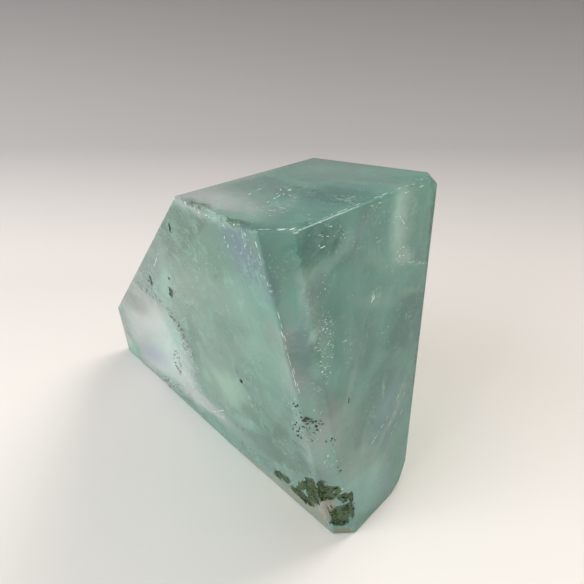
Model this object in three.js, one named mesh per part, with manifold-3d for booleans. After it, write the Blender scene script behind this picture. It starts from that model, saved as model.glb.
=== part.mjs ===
// Fluorite polyhedron: one free-form cut and polished piece of green fluorite that stands on a flat facet.
// Millimetres, +Z up. The origin is on the rest plane, at the middle of the stone's bounding box.
import * as THREE from 'three';
import { mergeVertices } from 'three/addons/utils/BufferGeometryUtils.js';
import Module from 'manifold-3d';

// Driving dimensions
const HEIGHT = 57.8; // rest facet to crown facet
const ROUGH_BLOCK = 150; // edge of the cube that the stone is ground from

// Each ground facet: azimuth and tilt of its outward normal in degrees, then its distance from the
// stone's middle in mm. Azimuth 0 is +X and 90 is +Y; a negative tilt overhangs.
const FACETS = {
  crown: [0, 90, HEIGHT / 2],
  rest: [0, -90, HEIGHT / 2],
  broadLeft: [-141.4, -14.5, 14.9],
  narrowFront: [-86.3, -9.8, 31.0],
  broadRight: [-39.6, 0.8, 26.9],
  soleBevel: [-140.2, -19.6, 17.1],
  toeBevel: [-86.2, -20, 34.3],
  rightEdge: [8, -1.8, 23.8],
  rightShoulder: [-4, 44, 38.3],
  rightHeel: [-6, -16, 31.8],
  rightToe: [-20, -34, 37.9],
  backRight: [59.5, 24, 16.5],
  backLeftRoof: [140.4, 51.1, 19.4],
  leftEnd: [172, 8.5, 38.4],
  back: [100, 14, 35.4],
};

// Shallow conchoidal scar on the lower left of the broad left facet, an elliptical dish.
const SCAR = { u: -26, w: -10, long: 22.5, short: 13.5, turn: 35, depth: 0.9, bulge: 4 };
const RIM_PITS = 13; // corroded pits along the scar's rim
const RIM_PIT_ARC = [-62, 78]; // the part of the rim that they follow, in degrees

// Open pits in a facet: u runs along the facet and w up it, from the foot of its normal. Lengths in mm.
const PITS = [
  { facet: 'broadLeft', u: -10.9, w: 17.8, long: 1.5, wide: 0.6, deep: 0.35, turn: 80 },
  { facet: 'broadLeft', u: -13.0, w: 11.1, long: 1.9, wide: 0.6, deep: 0.4, turn: 112 },
  { facet: 'broadLeft', u: -17.5, w: 3.3, long: 2.0, wide: 0.8, deep: 0.5, turn: 118 },
  { facet: 'broadLeft', u: 4.3, w: 27.1, long: 1.6, wide: 0.5, deep: 0.35, turn: 84 },
  { facet: 'broadLeft', u: -3.7, w: 15.1, long: 0.9, wide: 0.6, deep: 0.4, turn: 20 },
  { facet: 'broadLeft', u: -5.9, w: 11.6, long: 2.4, wide: 1.1, deep: 0.6, turn: 104 },
  { facet: 'broadLeft', u: 11.4, w: 0.6, long: 0.9, wide: 0.7, deep: 0.4, turn: 10 },
  { facet: 'broadRight', u: -13.3, w: -0.5, long: 1.4, wide: 0.4, deep: 0.3, turn: 95 },
  { facet: 'back', u: 6.0, w: -6.0, long: 2.2, wide: 1.0, deep: 0.5, turn: 40 },
  { facet: 'back', u: -9.0, w: 2.0, long: 1.6, wide: 0.7, deep: 0.4, turn: 130 },
  { facet: 'backRight', u: 12.0, w: -14.0, long: 2.0, wide: 0.9, deep: 0.5, turn: 75 },
];

// Chips on an edge where three facets name its two corners: how far along each chip sits, and its radius.
const CHIPPED_EDGES = [
  {
    from: ['crown', 'broadLeft', 'backLeftRoof'],
    to: ['crown', 'broadLeft', 'narrowFront'],
    chips: [[0.03, 0.9], [0.28, 0.8], [0.41, 1.2], [0.5, 0.9], [0.63, 1.1], [0.8, 0.6], [1.0, 1.0]],
  },
  {
    from: ['crown', 'narrowFront', 'broadRight'],
    to: ['crown', 'broadRight', 'rightEdge'],
    chips: [[0.0, 0.8], [0.33, 0.5], [0.52, 0.6], [0.6, 0.5], [0.78, 0.6], [0.9, 0.5]],
  },
  {
    from: ['broadLeft', 'rest', 'leftEnd'],
    to: ['broadLeft', 'rest', 'soleBevel'],
    chips: [[0.02, 1.2], [0.15, 0.8], [0.24, 1.0], [0.33, 0.7], [0.42, 1.1], [0.5, 0.8], [0.58, 0.6]],
  },
  {
    from: ['backLeftRoof', 'back', 'backRight'],
    to: ['rest', 'back', 'backRight'],
    chips: [[0.2, 1.1], [0.55, 0.9], [0.8, 1.3]],
  },
];

const wasm = await Module();
wasm.setup();

function toSolid(geometry) {
  const bare = geometry.clone();
  bare.deleteAttribute('normal');
  bare.deleteAttribute('uv');
  const merged = mergeVertices(bare);
  const vertProperties = new Float32Array(merged.attributes.position.array);
  const triVerts = new Uint32Array(merged.index.array);
  return new wasm.Manifold(new wasm.Mesh({ numProp: 3, vertProperties, triVerts }));
}

function toGeometry(solid) {
  const mesh = solid.getMesh();
  const geometry = new THREE.BufferGeometry();
  geometry.setAttribute('position', new THREE.BufferAttribute(mesh.vertProperties, mesh.numProp));
  geometry.setIndex(new THREE.BufferAttribute(mesh.triVerts, 1));
  return geometry;
}

// A facet's axes: normal outwards, u level along the facet, w up it, and foot where the normal meets it.
function facetFrame(name) {
  const [azimuth, tilt, distance] = FACETS[name];
  const turn = THREE.MathUtils.degToRad(azimuth);
  const rise = THREE.MathUtils.degToRad(tilt);
  const normal = new THREE.Vector3(
    Math.cos(rise) * Math.cos(turn),
    Math.cos(rise) * Math.sin(turn),
    Math.sin(rise),
  );
  const u = new THREE.Vector3(-Math.sin(turn), Math.cos(turn), 0);
  const w = normal.clone().cross(u);
  const foot = normal.clone().multiplyScalar(distance);
  return { normal, u, w, foot };
}

function pointOn(frame, u, w) {
  return frame.foot.clone().addScaledVector(frame.u, u).addScaledVector(frame.w, w);
}

// A matrix that stands a shape's Z axis on the facet's normal and turns it in the facet's plane.
function onFacet(frame, point, turn) {
  const basis = new THREE.Matrix4().makeBasis(frame.u, frame.w, frame.normal).setPosition(point);
  return basis.multiply(new THREE.Matrix4().makeRotationZ(THREE.MathUtils.degToRad(turn)));
}

// The corner where three facets meet.
function corner([a, b, c]) {
  const [fa, fb, fc] = [a, b, c].map(facetFrame);
  const rows = new THREE.Matrix3().set(
    fa.normal.x, fa.normal.y, fa.normal.z,
    fb.normal.x, fb.normal.y, fb.normal.z,
    fc.normal.x, fc.normal.y, fc.normal.z,
  );
  const distances = new THREE.Vector3(FACETS[a][2], FACETS[b][2], FACETS[c][2]);
  return distances.applyMatrix3(rows.invert());
}

// The rough block with everything outside each facet's plane ground away.
function groundBlock() {
  let stone = toSolid(new THREE.BoxGeometry(ROUGH_BLOCK, ROUGH_BLOCK, ROUGH_BLOCK));
  for (const name of Object.keys(FACETS)) {
    const frame = facetFrame(name);
    const middle = frame.foot.clone().addScaledVector(frame.normal, ROUGH_BLOCK);
    const waste = new THREE.BoxGeometry(2 * ROUGH_BLOCK, 2 * ROUGH_BLOCK, 2 * ROUGH_BLOCK);
    stone = stone.subtract(toSolid(waste.applyMatrix4(onFacet(frame, middle, 0))));
  }
  return stone;
}

// The dish of the scar: the end of a flat ellipsoid whose section in the facet's plane is the rim.
function scarCutter() {
  const { u, w, long, short, turn, depth, bulge } = SCAR;
  const section = Math.sqrt(1 - ((bulge - depth) / bulge) ** 2);
  const frame = facetFrame('broadLeft');
  const middle = pointOn(frame, u, w).addScaledVector(frame.normal, bulge - depth);
  const dish = new THREE.SphereGeometry(1, 40, 24).rotateX(Math.PI / 2);
  dish.scale(long / section, short / section, bulge);
  return toSolid(dish.applyMatrix4(onFacet(frame, middle, turn)));
}

function pitCutter({ facet, u, w, long, wide, deep, turn }) {
  const frame = facetFrame(facet);
  const hollow = new THREE.IcosahedronGeometry(1, 1).scale(long / 2, wide / 2, deep);
  return toSolid(hollow.applyMatrix4(onFacet(frame, pointOn(frame, u, w), turn)));
}

// Pits that follow the scar's rim, each a little different in size and place.
function rimPits() {
  return Array.from({ length: RIM_PITS }, (_, i) => {
    const vary = (i * 0.618) % 1;
    const angle = THREE.MathUtils.degToRad(
      THREE.MathUtils.lerp(RIM_PIT_ARC[0], RIM_PIT_ARC[1], i / (RIM_PITS - 1)),
    );
    const reach = 0.93 + 0.08 * vary;
    const along = new THREE.Vector2(SCAR.long * reach * Math.cos(angle), SCAR.short * reach * Math.sin(angle));
    along.rotateAround(new THREE.Vector2(), THREE.MathUtils.degToRad(SCAR.turn));
    return {
      facet: 'broadLeft',
      u: SCAR.u + along.x,
      w: SCAR.w + along.y,
      long: 0.9 + 0.9 * vary,
      wide: 0.5 + 0.3 * vary,
      deep: 0.45,
      turn: 60 + 70 * vary,
    };
  });
}

// Chips are bites of a low ellipsoid centred just outside the edge.
function chipCutters({ from, to, chips }) {
  const start = corner(from);
  const end = corner(to);
  const run = end.clone().sub(start).normalize();
  const side = facetFrame(from[0]).normal.clone().add(facetFrame(from[1]).normal).normalize();
  return chips.map(([along, radius]) => {
    const bite = new THREE.IcosahedronGeometry(radius, 1).scale(1.7, 1, 1);
    const basis = new THREE.Matrix4().makeBasis(run, side, run.clone().cross(side));
    basis.setPosition(start.clone().lerp(end, along).addScaledVector(side, 0.62 * radius));
    return toSolid(bite.applyMatrix4(basis));
  });
}

function stoneGeometry() {
  const cutters = [
    scarCutter(),
    ...[...PITS, ...rimPits()].map(pitCutter),
    ...CHIPPED_EDGES.flatMap(chipCutters),
  ];
  const stone = cutters.reduce((rest, cutter) => rest.subtract(cutter), groundBlock());
  const geometry = toGeometry(stone);
  geometry.computeBoundingBox();
  const { min, max } = geometry.boundingBox;
  geometry.translate(-(min.x + max.x) / 2, -(min.y + max.y) / 2, -min.z);
  geometry.computeVertexNormals();
  return geometry;
}

// Polished grey-green crystal
const fluoriteMaterial = new THREE.MeshStandardMaterial({ color: 0x7f9f92, roughness: 0.12, metalness: 0 });

const fluorite = new THREE.Mesh(stoneGeometry(), fluoriteMaterial);
fluorite.name = 'fluorite';

const part = new THREE.Group();
part.add(fluorite);

export default part;
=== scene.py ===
# A free-form cut and polished polyhedron of green fluorite, standing on its flat rest facet.
import math
import random

import bpy
import numpy as np
from mathutils import Matrix, Vector


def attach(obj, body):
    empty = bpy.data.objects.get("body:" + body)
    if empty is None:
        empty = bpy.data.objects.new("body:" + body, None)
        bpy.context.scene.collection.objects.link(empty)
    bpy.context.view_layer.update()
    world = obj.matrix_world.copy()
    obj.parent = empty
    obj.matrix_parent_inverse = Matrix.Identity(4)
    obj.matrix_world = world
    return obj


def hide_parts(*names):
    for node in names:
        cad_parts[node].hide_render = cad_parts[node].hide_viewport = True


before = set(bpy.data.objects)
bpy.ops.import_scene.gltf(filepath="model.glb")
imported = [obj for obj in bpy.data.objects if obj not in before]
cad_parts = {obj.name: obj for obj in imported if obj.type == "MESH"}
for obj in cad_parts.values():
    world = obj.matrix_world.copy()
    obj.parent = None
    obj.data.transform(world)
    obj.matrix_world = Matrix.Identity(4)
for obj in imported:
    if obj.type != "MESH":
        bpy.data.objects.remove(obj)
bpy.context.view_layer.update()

MM = 0.001  # the sizes below are in millimetres, and Blender works in metres


# ---- Camera -------------------------------------------------------------------------------------
# Close to the stone and a little above it, looking down at the corner between its two broad facets.
# The field of view is a phone camera's.
CAMERA_PLACE = (10.1, -102.9, 80.0)
CAMERA_DOWN = 25.0
SENSOR_WIDTH = 36.0
FRAME_PIXELS = 584
FOCAL_PIXELS = 600.0

camera_data = bpy.data.cameras.new("camera")
camera_data.sensor_width = SENSOR_WIDTH
camera_data.lens = SENSOR_WIDTH * FOCAL_PIXELS / FRAME_PIXELS
camera_data.clip_start = 0.005
camera = bpy.data.objects.new("camera", camera_data)
camera.location = Vector(CAMERA_PLACE) * MM
camera.rotation_euler = (math.radians(90 - CAMERA_DOWN), 0, 0)
bpy.context.scene.collection.objects.link(camera)
bpy.context.scene.camera = camera


# ---- Stone: the ground block --------------------------------------------------------------------
# One piece of fluorite, sawn from the rough and ground flat on fifteen sides, then polished by hand.
# Polishing has rounded the edges between the facets by a few tenths of a millimetre.
STONE_MIDDLE = Vector((6.14, -2.94, 28.9)) * MM
ROUGH_BLOCK = 200 * MM
EDGE_ROUNDING = 0.34 * MM
SMALLEST_FACE = (0.8 * MM) ** 2
PLANE_SLACK = 0.004 * MM
SAME_DIRECTION = 0.99995
FACET_LOOK, EDGE_LOOK, CHIP_LOOK, PIT_LOOK, SCAR_LOOK = range(5)


def ground_facets(node):
    """The planes of the solid's facets: a face that the whole stone lies behind is part of one."""
    mesh = node.data
    corners = np.empty(len(mesh.vertices) * 3)
    mesh.vertices.foreach_get("co", corners)
    corners = corners.reshape(-1, 3)
    found = []
    for face in mesh.polygons:
        normal = np.array(face.normal)
        height = float(normal @ np.array(face.center))
        if face.area < SMALLEST_FACE or (corners @ normal).max() > height + PLANE_SLACK:
            continue
        if all(normal.dot(other) < SAME_DIRECTION for other, _ in found):
            found.append((normal, height))
    return [(Vector(normal), height) for normal, height in found]


FACET_DIRECTIONS = {
    # azimuth and tilt of the facet's normal, in degrees
    "crown": (0, 90),
    "rest": (0, -90),
    "broad_left": (-141.4, -14.5),
    "narrow_front": (-86.3, -9.8),
    "broad_right": (-39.6, 0.8),
    "sole_bevel": (-140.2, -19.6),
    "toe_bevel": (-86.2, -20),
    "right_edge": (8, -1.8),
    "back_right": (59.5, 24),
    "back_left_roof": (140.4, 51.1),
    "left_end": (172, 8.5),
    "back": (100, 14),
}


def facing(azimuth, tilt):
    """A unit vector from its azimuth and tilt."""
    turn, rise = math.radians(azimuth), math.radians(tilt)
    return Vector((math.cos(rise) * math.cos(turn), math.cos(rise) * math.sin(turn), math.sin(rise)))


planes = ground_facets(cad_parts["fluorite"])
facets = {
    name: max(planes, key=lambda plane: plane[0].dot(facing(*direction)))
    for name, direction in FACET_DIRECTIONS.items()
}


def facet_axes(name):
    """Foot of a facet's normal from the stone's middle, then u level on it, w up it, and the normal."""
    normal, height = facets[name]
    is_level = abs(normal.z) >= 0.999
    turn = 0.0 if is_level else math.atan2(normal.y, normal.x)
    u = Vector((-math.sin(turn), math.cos(turn), 0))
    w = normal.cross(u)
    foot = STONE_MIDDLE + (height - STONE_MIDDLE.dot(normal)) * normal
    return foot, u, w, normal


def under(name, u, w, depth=0.0):
    """The point depth mm under a facet, at u and w mm from the foot of its normal."""
    foot, along, up, normal = facet_axes(name)
    return foot + (along * u + up * w - normal * depth) * MM


def corner(*names):
    """The point where three facets' planes meet."""
    normals = Matrix([facets[name][0] for name in names])
    return normals.inverted() @ Vector([facets[name][1] for name in names])


bpy.ops.object.select_all(action="DESELECT")
bpy.ops.mesh.primitive_cube_add(size=ROUGH_BLOCK, location=STONE_MIDDLE)
stone = bpy.context.object
stone.name = "stone"
bpy.ops.object.transform_apply(location=True, rotation=False, scale=False)
bpy.ops.object.mode_set(mode="EDIT")
for normal, height in planes:
    bpy.ops.mesh.select_all(action="SELECT")
    bpy.ops.mesh.bisect(plane_co=normal * height, plane_no=normal, use_fill=True, clear_outer=True)
bpy.ops.mesh.select_all(action="SELECT")
bpy.ops.mesh.normals_make_consistent(inside=False)
bpy.ops.mesh.bevel(offset=EDGE_ROUNDING, segments=3, profile=0.5, affect="EDGES", material=EDGE_LOOK)
bpy.ops.object.mode_set(mode="OBJECT")
for look in ("facet", "edge", "chip", "pit", "scar"):
    stone.data.materials.append(bpy.data.materials.new(f"marks the {look}"))


def placed_on(name, u, w, turn=0.0, lift=0.0):
    """A matrix that stands a cutter's Z axis on a facet's normal, lifted lift mm off it."""
    _, along, up, normal = facet_axes(name)
    matrix = Matrix((along, up, normal)).transposed().to_4x4() @ Matrix.Rotation(math.radians(turn), 4, "Z")
    matrix.translation = under(name, u, w, -lift)
    return matrix


def mark_all(lump, look):
    """Makes every face that a lump leaves in the stone carry one look's marker."""
    for marker in stone.data.materials[:look + 1]:
        lump.data.materials.append(marker)
    lump.data.polygons.foreach_set("material_index", [look] * len(lump.data.polygons))


def cutter(matrix, size, detail, ragged, seed, look):
    """A ragged lump of size mm that bites into the stone and marks what it leaves."""
    bpy.ops.object.select_all(action="DESELECT")
    bpy.ops.mesh.primitive_ico_sphere_add(subdivisions=detail, radius=1)
    lump = bpy.context.object
    bpy.ops.object.mode_set(mode="EDIT")
    bpy.ops.transform.vertex_random(offset=ragged, uniform=0.2, normal=0.6, seed=seed)
    bpy.ops.object.mode_set(mode="OBJECT")
    lump.data.transform(matrix @ Matrix.Diagonal((*(Vector(size) * MM), 1)))
    mark_all(lump, look)
    return lump


def cut_away(lumps):
    """Cuts a list of lumps out of the stone in one go."""
    bpy.ops.object.select_all(action="DESELECT")
    for lump in lumps:
        lump.select_set(True)
    bpy.context.view_layer.objects.active = lumps[0]
    if len(lumps) > 1:
        bpy.ops.object.join()
    lump = bpy.context.object
    bpy.ops.object.select_all(action="DESELECT")
    stone.select_set(True)
    bpy.context.view_layer.objects.active = stone
    bite = stone.modifiers.new("bite", "BOOLEAN")
    bite.operation = "DIFFERENCE"
    bite.solver = "EXACT"
    bite.use_self = True
    bite.material_mode = "TRANSFER"
    bite.object = lump
    bpy.ops.object.modifier_apply(modifier=bite.name)
    bpy.data.objects.remove(lump)


# ---- Stone: the scar ----------------------------------------------------------------------------
# A shallow conchoidal dish where a flake came off the lower left of the broad left facet before it
# was polished. Its floor is frosted, and corroded pits follow its rim.
SCAR = {"u": -26, "w": -10, "long": 22.5, "short": 13.5, "turn": 35, "depth": 0.9, "bulge": 4}
SCAR_RIM = [
    # waves round the rim, share of the radius, phase
    (2, 0.03, 0.6),
    (5, 0.03, 2.1),
    (9, 0.02, 4.0),
    (17, 0.012, 1.0),
]
DISH_TOP = -0.7  # only the part of the unit ball below this cuts

section = math.sqrt(1 - ((SCAR["bulge"] - SCAR["depth"]) / SCAR["bulge"]) ** 2)
bpy.ops.object.select_all(action="DESELECT")
bpy.ops.mesh.primitive_uv_sphere_add(segments=96, ring_count=120, radius=1)
dish = bpy.context.object
bpy.ops.object.mode_set(mode="EDIT")
bpy.ops.mesh.bisect(plane_co=(0, 0, DISH_TOP), plane_no=(0, 0, 1), use_fill=True, clear_outer=True)
bpy.ops.object.mode_set(mode="OBJECT")
for vertex in dish.data.vertices:
    angle = math.atan2(vertex.co.y, vertex.co.x)
    swell = 1 + sum(share * math.sin(count * angle + shift) for count, share, shift in SCAR_RIM)
    vertex.co.xy *= swell
dish_size = Vector((SCAR["long"] / section, SCAR["short"] / section, SCAR["bulge"])) * MM
dish.data.transform(
    placed_on("broad_left", SCAR["u"], SCAR["w"], SCAR["turn"], SCAR["bulge"] - SCAR["depth"])
    @ Matrix.Diagonal((*dish_size, 1))
)
mark_all(dish, SCAR_LOOK)
cut_away([dish])


# ---- Stone: chips and pits ----------------------------------------------------------------------
# Knocks have bitten small conchoidal chips out of the crown and sole edges, and the crystal has a few
# open pits. Each edge names its two corners by the facets that meet there, then its chips with how
# far along they are and their radius in mm, and the number of its small nicks.
CHIPPED_EDGES = [
    (
        ("crown", "broad_left", "back_left_roof"),
        ("crown", "broad_left", "narrow_front"),
        [(0.03, 0.9), (0.28, 0.8), (0.41, 1.2), (0.5, 0.9), (0.63, 1.1), (0.8, 0.6), (1.0, 1.0)],
        34,
    ),
    (
        ("crown", "narrow_front", "broad_right"),
        ("crown", "broad_right", "right_edge"),
        [(0.0, 0.8), (0.33, 0.5), (0.52, 0.6), (0.6, 0.5), (0.78, 0.6), (0.9, 0.5)],
        26,
    ),
    (
        ("broad_left", "rest", "left_end"),
        ("broad_left", "rest", "sole_bevel"),
        [(0.02, 1.2), (0.15, 0.8), (0.24, 1.0), (0.33, 0.7), (0.42, 1.1), (0.5, 0.8), (0.58, 0.6)],
        22,
    ),
    (
        ("back_left_roof", "back", "back_right"),
        ("rest", "back", "back_right"),
        [(0.2, 1.1), (0.55, 0.9), (0.8, 1.3)],
        8,
    ),
    (("crown", "broad_left", "back_left_roof"), ("broad_left", "back_left_roof", "left_end"), [], 10),
    (("crown", "back_right", "back_left_roof"), ("crown", "back_right", "right_edge"), [], 12),
]
CHIP_STRETCH = 1.7
CHIP_LIFT = 0.62
NICK_RADIUS = (0.12, 0.34)
NICK_STRETCH = (0.8, 2.4)
NICK_LIFT = 0.45

OPEN_PITS = [
    # facet, u, w, long, wide, deep, turn
    ("broad_left", -10.9, 17.8, 1.3, 0.7, 0.25, 80),
    ("broad_left", -13.0, 11.1, 2.6, 1.0, 0.3, 74),
    ("broad_left", -18.0, 2.9, 2.4, 1.4, 0.3, 118),
    ("broad_left", 4.4, 27.1, 1.8, 0.8, 0.25, 66),
    ("broad_left", -3.6, 15.2, 1.0, 0.7, 0.25, 34),
    ("broad_left", -5.1, 11.7, 3.0, 1.5, 0.4, 57),
    ("broad_left", 11.6, 0.9, 1.2, 0.8, 0.25, 38),
    ("broad_right", -13.3, -0.5, 1.0, 0.3, 0.15, 95),
    ("back", 15.0, -31.0, 2.2, 0.9, 0.35, 40),
    ("back", 21.0, -27.0, 1.6, 0.6, 0.3, 130),
    ("back_right", 12.0, -14.0, 2.0, 0.8, 0.35, 75),
]
PIT_LOBES = (-1, 0, 1)
LOBE_GAP = 0.28
LOBE_TURN = 25
RIM_PITS = 60
RIM_PIT_ARC = (-30, 62)

dice = random.Random(5)
chips = []
for start_names, end_names, bites, nicks in CHIPPED_EDGES:
    start, end = corner(*start_names), corner(*end_names)
    run = (end - start).normalized()
    shared = [name for name in start_names if name in end_names]
    side = (facets[shared[0]][0] + facets[shared[1]][0]).normalized()
    across = Matrix((run, side, run.cross(side))).transposed().to_4x4()
    for along, radius in bites:
        across.translation = start.lerp(end, along) + side * CHIP_LIFT * radius * MM
        size = (CHIP_STRETCH * radius, radius, radius)
        chips.append(cutter(across, size, 3, 0.16, dice.randrange(999), CHIP_LOOK))
    for _ in range(nicks):
        radius = dice.uniform(*NICK_RADIUS)
        across.translation = start.lerp(end, dice.random()) + side * NICK_LIFT * radius * MM
        size = (dice.uniform(*NICK_STRETCH) * radius, radius, radius)
        chips.append(cutter(across, size, 1, 0.25, dice.randrange(999), CHIP_LOOK))
cut_away(chips)

pits = []
for facet, u, w, long, wide, deep, turn in OPEN_PITS:
    bend = math.radians(turn)
    for lobe in PIT_LOBES:
        slide = lobe * LOBE_GAP * long
        lobe_u, lobe_w = u + slide * math.cos(bend), w + slide * math.sin(bend)
        place = placed_on(facet, lobe_u, lobe_w, turn + lobe * LOBE_TURN)
        size = (long * dice.uniform(0.2, 0.3), wide * dice.uniform(0.35, 0.5), deep * dice.uniform(0.7, 1))
        pits.append(cutter(place, size, 2, 0.2, dice.randrange(999), PIT_LOOK))
arc = RIM_PIT_ARC[1] - RIM_PIT_ARC[0]
for pit in range(RIM_PITS):
    angle = math.radians(RIM_PIT_ARC[0] + arc * (pit + dice.random()) / RIM_PITS)
    reach = dice.uniform(0.9, 1.06)
    rim = Vector((SCAR["long"] * math.cos(angle), SCAR["short"] * math.sin(angle))) * reach
    rim.rotate(Matrix.Rotation(math.radians(SCAR["turn"]), 2))
    place = placed_on("broad_left", SCAR["u"] + rim.x, SCAR["w"] + rim.y, dice.uniform(50, 140))
    size = (dice.uniform(0.15, 0.5), dice.uniform(0.1, 0.2), dice.uniform(0.1, 0.2))
    pits.append(cutter(place, size, 2, 0.25, dice.randrange(999), PIT_LOOK))
cut_away(pits)

marks = stone.data.attributes.new("surface", "FLOAT_COLOR", "CORNER")
MARK_COLOURS = {
    FACET_LOOK: (0, 0, 0, 1),
    EDGE_LOOK: (1, 0, 0, 1),
    CHIP_LOOK: (1, 1, 0, 1),
    PIT_LOOK: (0, 0, 1, 1),
    SCAR_LOOK: (0, 1, 0, 1),
}
# faces turned down like the foot bevels, toward the floor, are marked for a painted reflection of the floor
FOOT_MARK = (0, 0, 0, 0)
FOOT_DIRECTION = 0.9995
foot_normals = [facets["sole_bevel"][0], facets["toe_bevel"][0]]
for face in stone.data.polygons:
    look = face.material_index
    faces_foot = any(face.normal.dot(normal) > FOOT_DIRECTION for normal in foot_normals)
    is_foot = look == FACET_LOOK and faces_foot
    face.use_smooth = look in (EDGE_LOOK, SCAR_LOOK)
    for loop in face.loop_indices:
        marks.data[loop].color = FOOT_MARK if is_foot else MARK_COLOURS[look]
stone.data.polygons.foreach_set("material_index", [0] * len(stone.data.polygons))
stone.data.materials.clear()


# ---- Stone: polished fluorite -------------------------------------------------------------------
# Calcium fluoride, grown in green and milky zones. It was lapped and polished by hand, so the facets
# are glossy but a little wavy, while the scar and the chips stay matt and pale. Part of that paleness,
# on the scar, the chips and the rounded edges, is a painted highlight, the foot carries a painted
# reflection of the floor, and a few thin zones are painted shade and painted reflection. Light goes
# in, is tinted green on its way and comes back softened by the milk in the crystal.
FLUORITE_IOR = 1.434
CLEAR_SHARE = 0.62
TINT_COLOUR = "#7cc8b8"
TINT_DENSITY = 28.0
BODY_COLOUR = "#98dccb"

ZONE_COLOURS = {
    "sage milk": "#99b6a8",
    "deep teal": "#5fa99f",
    "pale green": "#c9f2d6",
    "lavender milk": "#9cc2c4",
    "blue milk": "#a6d6dc",
    "white milk": "#b4e6d4",
    "dull green": "#6f9c86",
    "slate lavender": "#7c95a8",
    "pale sage": "#ccd8d0",
    "pale teal": "#aee0d4",
    "mint frost": "#c6f0de",
    "white frost": "#f4fffa",
    "bright mint": "#dcfff0",
    "lavender frost": "#dcdef2",
    "grey green": "#8ea597",
    # painted reflection of the pale floor on the foot
    "painted floor reflection": "#d6cdbc",
    # painted reflection of the grey backdrop on the crown
    "painted backdrop grey": "#b8cec8",
    "chlorite stain": "#2a3f20",
    # dark green haze round the chlorite stains, also used as painted shade along edges
    "chlorite haze and painted edge shade": "#4f7048",
}
GROWTH_ZONES = [
    # facet, u, w, half length, half height, half depth, turn, colour, strength
    ("back", 18.0, -29.0, 28, 24, 7, 0, "sage milk", 0.75),
    ("back_right", 0.0, 0.0, 44, 40, 7, 0, "sage milk", 0.75),
    ("back_left_roof", 0.0, 0.0, 44, 34, 7, 0, "sage milk", 0.8),
    ("left_end", 0.0, 0.0, 26, 22, 6, 0, "sage milk", 0.8),
    ("broad_left", 2.0, 6.0, 48, 38, 7, 0, "sage milk", 0.9),
    ("broad_left", 11.0, 27.0, 20, 8.5, 5, 14, "dull green", 0.85),
    ("broad_left", -2.0, 12.5, 14, 7, 4, 30, "grey green", 0.5),
    ("broad_left", 25.0, 29.5, 9, 7, 2.5, 4, "slate lavender", 0.95),
    ("broad_left", -12.0, 11.5, 11, 9, 5, 40, "lavender milk", 0.55),
    ("broad_left", 3.5, -5.0, 12, 7, 6, 25, "pale green", 0.75),
    ("broad_left", 22.0, 10.0, 10, 14, 5, 10, "white milk", 0.45),
    ("broad_left", 15.5, -7.4, 10, 4.5, 5, 22, "dull green", 0.95),
    ("broad_left", 26.0, -8.0, 6, 7.5, 5, 0, "slate lavender", 0.4),
    ("broad_left", -47.7, -17.1, 16, 4.4, 3, 58, "grey green", 0.9),
    ("broad_left", -9.7, -18.2, 13, 4.4, 3, 11, "white frost", 0.95),
    ("broad_left", 3.2, -18.4, 9.5, 3.8, 3, 7, "mint frost", 0.7),
    ("narrow_front", 0.0, 31.0, 4.5, 8, 4, 0, "grey green", 0.4),
    ("narrow_front", 2.4, 17.0, 5, 16, 4, 0, "pale sage", 0.85),
    ("narrow_front", 6.5, -1.0, 6, 12, 5, 0, "pale sage", 0.9),
    ("broad_right", -20.0, 25.4, 7.2, 4.6, 4, -16, "deep teal", 0.95),
    ("broad_right", -10.5, 23.5, 6, 7, 4, 30, "lavender milk", 0.45),
    ("broad_right", -1.6, 24.0, 9.5, 5.4, 4, 86, "mint frost", 0.95),
    ("broad_right", 2.5, 7.0, 9.5, 8.5, 5, 10, "deep teal", 0.8),
    ("broad_right", -14.5, 8.0, 9, 9, 5, 0, "pale teal", 0.3),
    ("broad_right", -19.0, 12.0, 7, 9, 5, 0, "deep teal", 0.4),
    ("broad_right", -1.0, -9.5, 9, 7.0, 5, 48, "blue milk", 0.9),
    ("broad_right", -14.0, -9.0, 8.5, 10, 5, 0, "mint frost", 0.75),
    ("broad_right", -3.5, -1.0, 5, 6, 5, 40, "deep teal", 0.5),
    ("broad_right", -8.0, -18.0, 14, 8.0, 5, -55, "mint frost", 0.95),
    # painted shade: a thin dark band along the right edge
    ("broad_right", 7.8, 23.7, 7.0, 1.3, 3, -86, "dull green", 0.9),
    ("broad_left", 10.0, 29.0, 12.0, 6.0, 4, 31, "dull green", 0.3),
    ("broad_left", 18.5, -11.0, 11, 6.0, 5, 34, "dull green", 0.75),
    ("broad_right", -6.5, -22.7, 13, 5.4, 5, -36, "blue milk", 0.85),
    ("crown", -21.0, -7.0, 11, 7, 4, 80, "deep teal", 0.7),
    ("crown", -10.0, -14.0, 7, 14, 4, 10, "white milk", 0.5),
    ("crown", -29.0, -1.0, 9, 1.6, 3, 57, "white milk", 0.6),
    ("back", 19.0, -23.0, 10, 7, 4, 20, "pale teal", 0.6),
    ("back", 12.0, -33.0, 9, 6, 4, 30, "deep teal", 0.6),
    ("back_right", 4.0, 8.0, 12, 10, 5, 20, "pale teal", 0.6),
    ("back_right", -4.0, -12.0, 12, 9, 5, 60, "dull green", 0.7),
    ("back_left_roof", 0.0, 6.0, 16, 9, 5, 20, "sage milk", 0.8),
    ("back_left_roof", -6.0, -10.0, 12, 8, 5, 50, "lavender milk", 0.7),
    ("left_end", 0.0, -4.0, 10, 9, 5, 20, "white milk", 0.7),
    ("right_edge", 0.0, 4.0, 8, 18, 4, 0, "deep teal", 0.5),
]
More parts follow.
